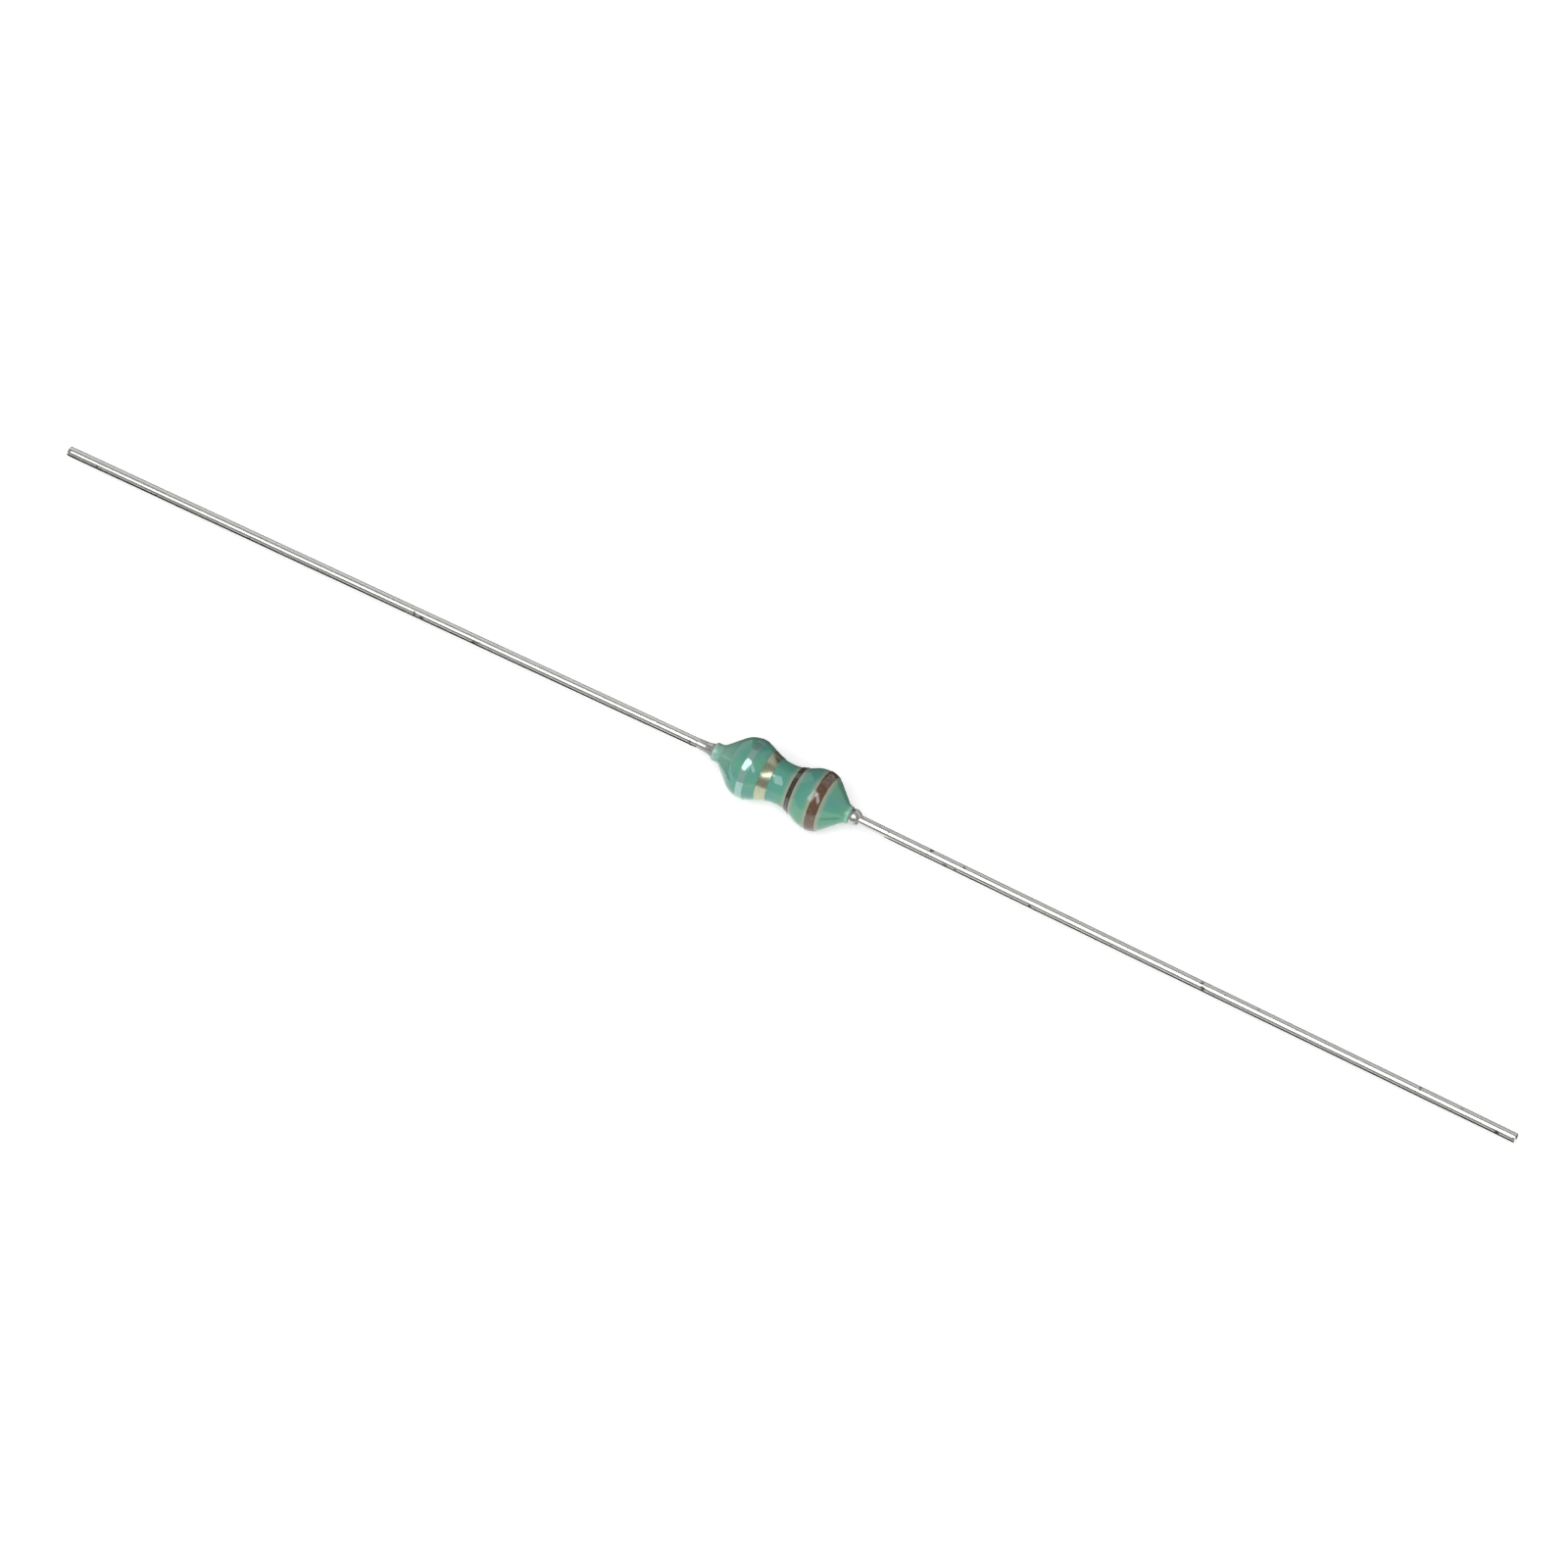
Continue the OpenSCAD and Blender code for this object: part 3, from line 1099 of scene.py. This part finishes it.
    def print_ring(self, ring: Ring) -> None:
        """Models a ring: the coat's own outside, cut at two places and as thick as the ink.

        Args:
            ring: which ring.
        """
        low, high = reach(ring.node)
        section = self.draw_outside()
        for x, away in ((low.x, -1), (high.x, 1)):
            bmesh.ops.bisect_plane(
                section.mesh,
                geom=[*section.mesh.verts, *section.mesh.edges],
                plane_co=(x, 0, 0),
                plane_no=(away, 0, 0),
                clear_outer=True,
            )
        mesh = section.revolve(self.segments)
        self.make_uneven(list(mesh.verts))
        bmesh.ops.recalc_face_normals(mesh, faces=mesh.faces)
        under = set(mesh.verts)
        bmesh.ops.solidify(mesh, geom=mesh.faces[:], thickness=-self.ink)
        rim_angle = math.radians(self.ink_rim_angle)
        top = [e for e in mesh.edges if under.isdisjoint(e.verts)]
        round_edges(mesh, [e for e in top if e.calc_face_angle(0.0) > rim_angle], self.ink_bevel)
        make_piece(mesh, ring.name, ring.finish.material(), ring.node)


@dataclass(frozen=True)
class Card:
    """A card that only reflections see, lying on the table or standing upright.

    Attributes:
        name: its name.
        shade: its colour as hex digits.
        across: its left and right edge along X.
        span: its near and far edge along Y, or upright its edges' heights above the table.
        upright_y: where it stands along Y, or None where it lies.
    """

    name: str
    shade: str
    across: tuple[float, float]
    span: tuple[float, float]
    upright_y: float | None = None


@dataclass(frozen=True)
class Lamp:
    """A softbox that faces the part.

    Attributes:
        name: its name.
        right: angle from overhead towards +X.
        front: angle from overhead towards -Y.
        width: how wide it looks from the part, as an angle.
        height: how high it looks, as an angle.
        glow: its brightness, where one is white.
        mirrored: whether reflections show it.
    """

    name: str
    right: float
    front: float
    width: float
    height: float
    glow: float
    mirrored: bool = True


@dataclass
class Studio:
    """A white table under a broad fill and two strip lights, cards round it and a long lens."""

    azimuth: float = 28.35
    elevation: float = 61.7
    distance: float = 600.0
    frame_w: float = 61.0
    sensor: float = 36.0
    near_clip: float = 50.0
    far_clip: float = 20000.0
    table: float = 3000.0
    table_shade: str = "#f7f7f7"
    table_roughness: float = 0.9
    table_glow: float = 0.37
    room_low: float = 0.3
    room_high: float = 0.36
    flag_shade: str = "#2a2a2a"
    flag_w: float = 900.0
    flag_h: float = 230.0
    flag_y: float = 220.0
    card_lift: float = 0.04
    cards: tuple[Card, ...] = (
        Card("low_card", "#646464", across=(-55.0, 55.0), span=(0.3, 60.0)),
        Card("left_lead_card", "#1c1c1c", across=(-34.2, -4.2), span=(-4.0, -0.3)),
        Card("right_lead_card", "#242424", across=(4.2, 34.2), span=(-3.2, -0.35)),
        Card("left_pale_card", "#f7f7f7", (-50.0, -5.6), (0.04, 13.3), upright_y=8.0),
        Card("right_pale_card", "#e4e4e4", (1.2, 45.0), (0.04, 13.3), upright_y=8.0),
    )
    lamp_distance: float = 1200.0
    lamps: tuple[Lamp, ...] = (
        Lamp("broad_fill", right=12, front=46, width=56, height=56, glow=1.1, mirrored=False),
        Lamp("left_strip", right=-7, front=20, width=24, height=42, glow=3.4),
        Lamp("right_strip", right=20, front=20, width=12, height=38, glow=3.6),
    )

    def build(self) -> None:
        """Sets the table, the light and the camera."""
        self.lay_table()
        self.light_room()
        self.set_cards()
        for lamp in self.lamps:
            self.hang_lamp(lamp)
        self.set_camera()

    def lay_table(self) -> None:
        """Lays the white table under the part."""
        plate = bmesh.new()
        under = Matrix.Translation((0, 0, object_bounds()[0].z))
        bmesh.ops.create_grid(
            plate, x_segments=1, y_segments=1, size=self.table * MM / 2, matrix=under
        )
        # Matt white card: it shows no gloss, keeps the shadow and looks white to camera and gloss
        paint = Paint(
            "white_card",
            Base_Color=linear(self.table_shade),
            Roughness=self.table_roughness,
            Specular_IOR_Level=0.0,
            Emission_Color=linear(WHITE),
        )
        rays = add_node(paint.tree, "ShaderNodeLightPath").outputs
        seen = paint.maths("MAXIMUM", rays["Is Camera Ray"], rays["Is Glossy Ray"])
        seen = paint.maths("MAXIMUM", seen, rays["Is Transmission Ray"])
        paint.lead_in("Emission Strength", paint.maths("MULTIPLY", seen, self.table_glow))
        add_object(plate, "white_table", paint.material)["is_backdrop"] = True

    def set_cards(self) -> None:
        """Sets the cards that give the leads their dark and pale lines in reflection."""
        upright = Matrix.Rotation(math.pi / 2, 4, "X")
        behind = Matrix.Translation((0, self.flag_y, self.flag_h / 2)) @ upright
        self.set_card("back_flag", self.flag_shade, self.flag_w, self.flag_h, behind)
        floor_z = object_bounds()[0].z / MM
        for card in self.cards:
            x, middle = sum(card.across) / 2, sum(card.span) / 2
            if card.upright_y is None:
                place = Matrix.Translation((x, middle, floor_z + self.card_lift))
            else:
                place = Matrix.Translation((x, card.upright_y, floor_z + middle)) @ upright
            width, depth = (end - start for start, end in (card.across, card.span))
            made = self.set_card(card.name, card.shade, width, depth, place)
            made.visible_diffuse = False

    def set_card(
        self, name: str, shade: str, width: float, depth: float, place: Matrix
    ) -> bpy.types.Object:
        """Sets one card, which the camera doesn't see and which casts no shadow.

        Args:
            name: its name.
            shade: its colour as hex digits.
            width: its width.
            depth: its other side.
            place: how it is turned and where it stands.

        Returns:
            The card.
        """
        sheet = bmesh.new()
        bmesh.ops.create_grid(sheet, x_segments=1, y_segments=1, size=0.5)
        bmesh.ops.scale(sheet, vec=(width, depth, 1), verts=sheet.verts)
        bmesh.ops.transform(sheet, matrix=Matrix.Scale(MM, 4) @ place, verts=sheet.verts)
        # Felt has no gloss of its own, so it gives a reflection one even shade
        felt = Paint(name, Base_Color=linear(shade), Roughness=1.0, Specular_IOR_Level=0.0)
        card = add_object(sheet, name, felt.material)
        card.visible_camera = False
        card.visible_shadow = False
        card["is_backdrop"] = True
        return card

    def light_room(self) -> None:
        """Fills the room with dim light, brighter overhead than at the horizon."""
        world = bpy.data.worlds.new("dim_room")
        world.use_nodes = True
        tree = world.node_tree
        tree.nodes.clear()
        way = add_node(tree, "ShaderNodeTexCoord").outputs["Generated"]
        split = add_node(tree, "ShaderNodeSeparateXYZ", links={"Vector": way})
        level = add_node(
            tree,
            "ShaderNodeMapRange",
            values={
                "From Min": 0.0,
                "From Max": 1.0,
                "To Min": self.room_low,
                "To Max": self.room_high,
            },
            links={"Value": split.outputs["Z"]},
        )
        light = add_node(
            tree,
            "ShaderNodeBackground",
            values={"Color": linear(WHITE)},
            links={"Strength": level.outputs["Result"]},
        )
        add_node(tree, "ShaderNodeOutputWorld", links={"Surface": light.outputs["Background"]})
        bpy.context.scene.world = world

    def softbox_side(self, angle: float) -> float:
        """Length in metres of a lamp's side that looks this long from the part."""
        return 2 * self.lamp_distance * MM * math.tan(math.radians(angle / 2))

    def hang_lamp(self, lamp: Lamp) -> None:
        """Hangs a lamp that faces the part.

        Args:
            lamp: which lamp.
        """
        across, ahead = math.radians(lamp.right), math.radians(lamp.front)
        level = math.cos(across)
        way = Vector((math.sin(across), -level * math.sin(ahead), level * math.cos(ahead)))
        light = bpy.data.lights.new(lamp.name, "AREA")
        light.shape = "RECTANGLE"
        light.size = self.softbox_side(lamp.width)
        light.size_y = self.softbox_side(lamp.height)
        light.energy = lamp.glow * math.pi * light.size * light.size_y
        hung = bpy.data.objects.new(lamp.name, light)
        hung.location = way * self.lamp_distance * MM
        hung.rotation_mode = "QUATERNION"
        hung.rotation_quaternion = (-way).to_track_quat("-Z", "Y")
        hung.visible_camera = False
        hung.visible_glossy = lamp.mirrored
        bpy.context.scene.collection.objects.link(hung)

    def set_camera(self) -> None:
        """Points a long lens at the part from the front, the right and well above."""
        across, up = math.radians(self.azimuth), math.radians(self.elevation)
        back = Vector(
            (math.sin(across) * math.cos(up), -math.cos(across) * math.cos(up), math.sin(up))
        )
        lens = bpy.data.cameras.new("long_lens")
        lens.sensor_width = self.sensor
        lens.lens = self.sensor * self.distance / self.frame_w
        lens.clip_start, lens.clip_end = self.near_clip * MM, self.far_clip * MM
        camera = bpy.data.objects.new("camera", lens)
        camera.location = back * self.distance * MM
        camera.rotation_mode = "QUATERNION"
        camera.rotation_quaternion = (-back).to_track_quat("-Z", "Y")
        bpy.context.scene.collection.objects.link(camera)
        bpy.context.scene.camera = camera


def main() -> None:
    """Builds the inductor and its studio."""
    logging.basicConfig(level=logging.INFO, format="%(message)s")
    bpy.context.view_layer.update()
    bpy.context.scene.view_settings.view_transform = "Standard"
    Studio().build()
    Insides().dress(frame["nodes"])
    solders = {side: Solder(side) for side in Side}
    for side in Side:
        Lead(side).build()
        solders[side].build()
    Coat().build(solders[Side.RIGHT])


if __name__ == "__main__":
    main()
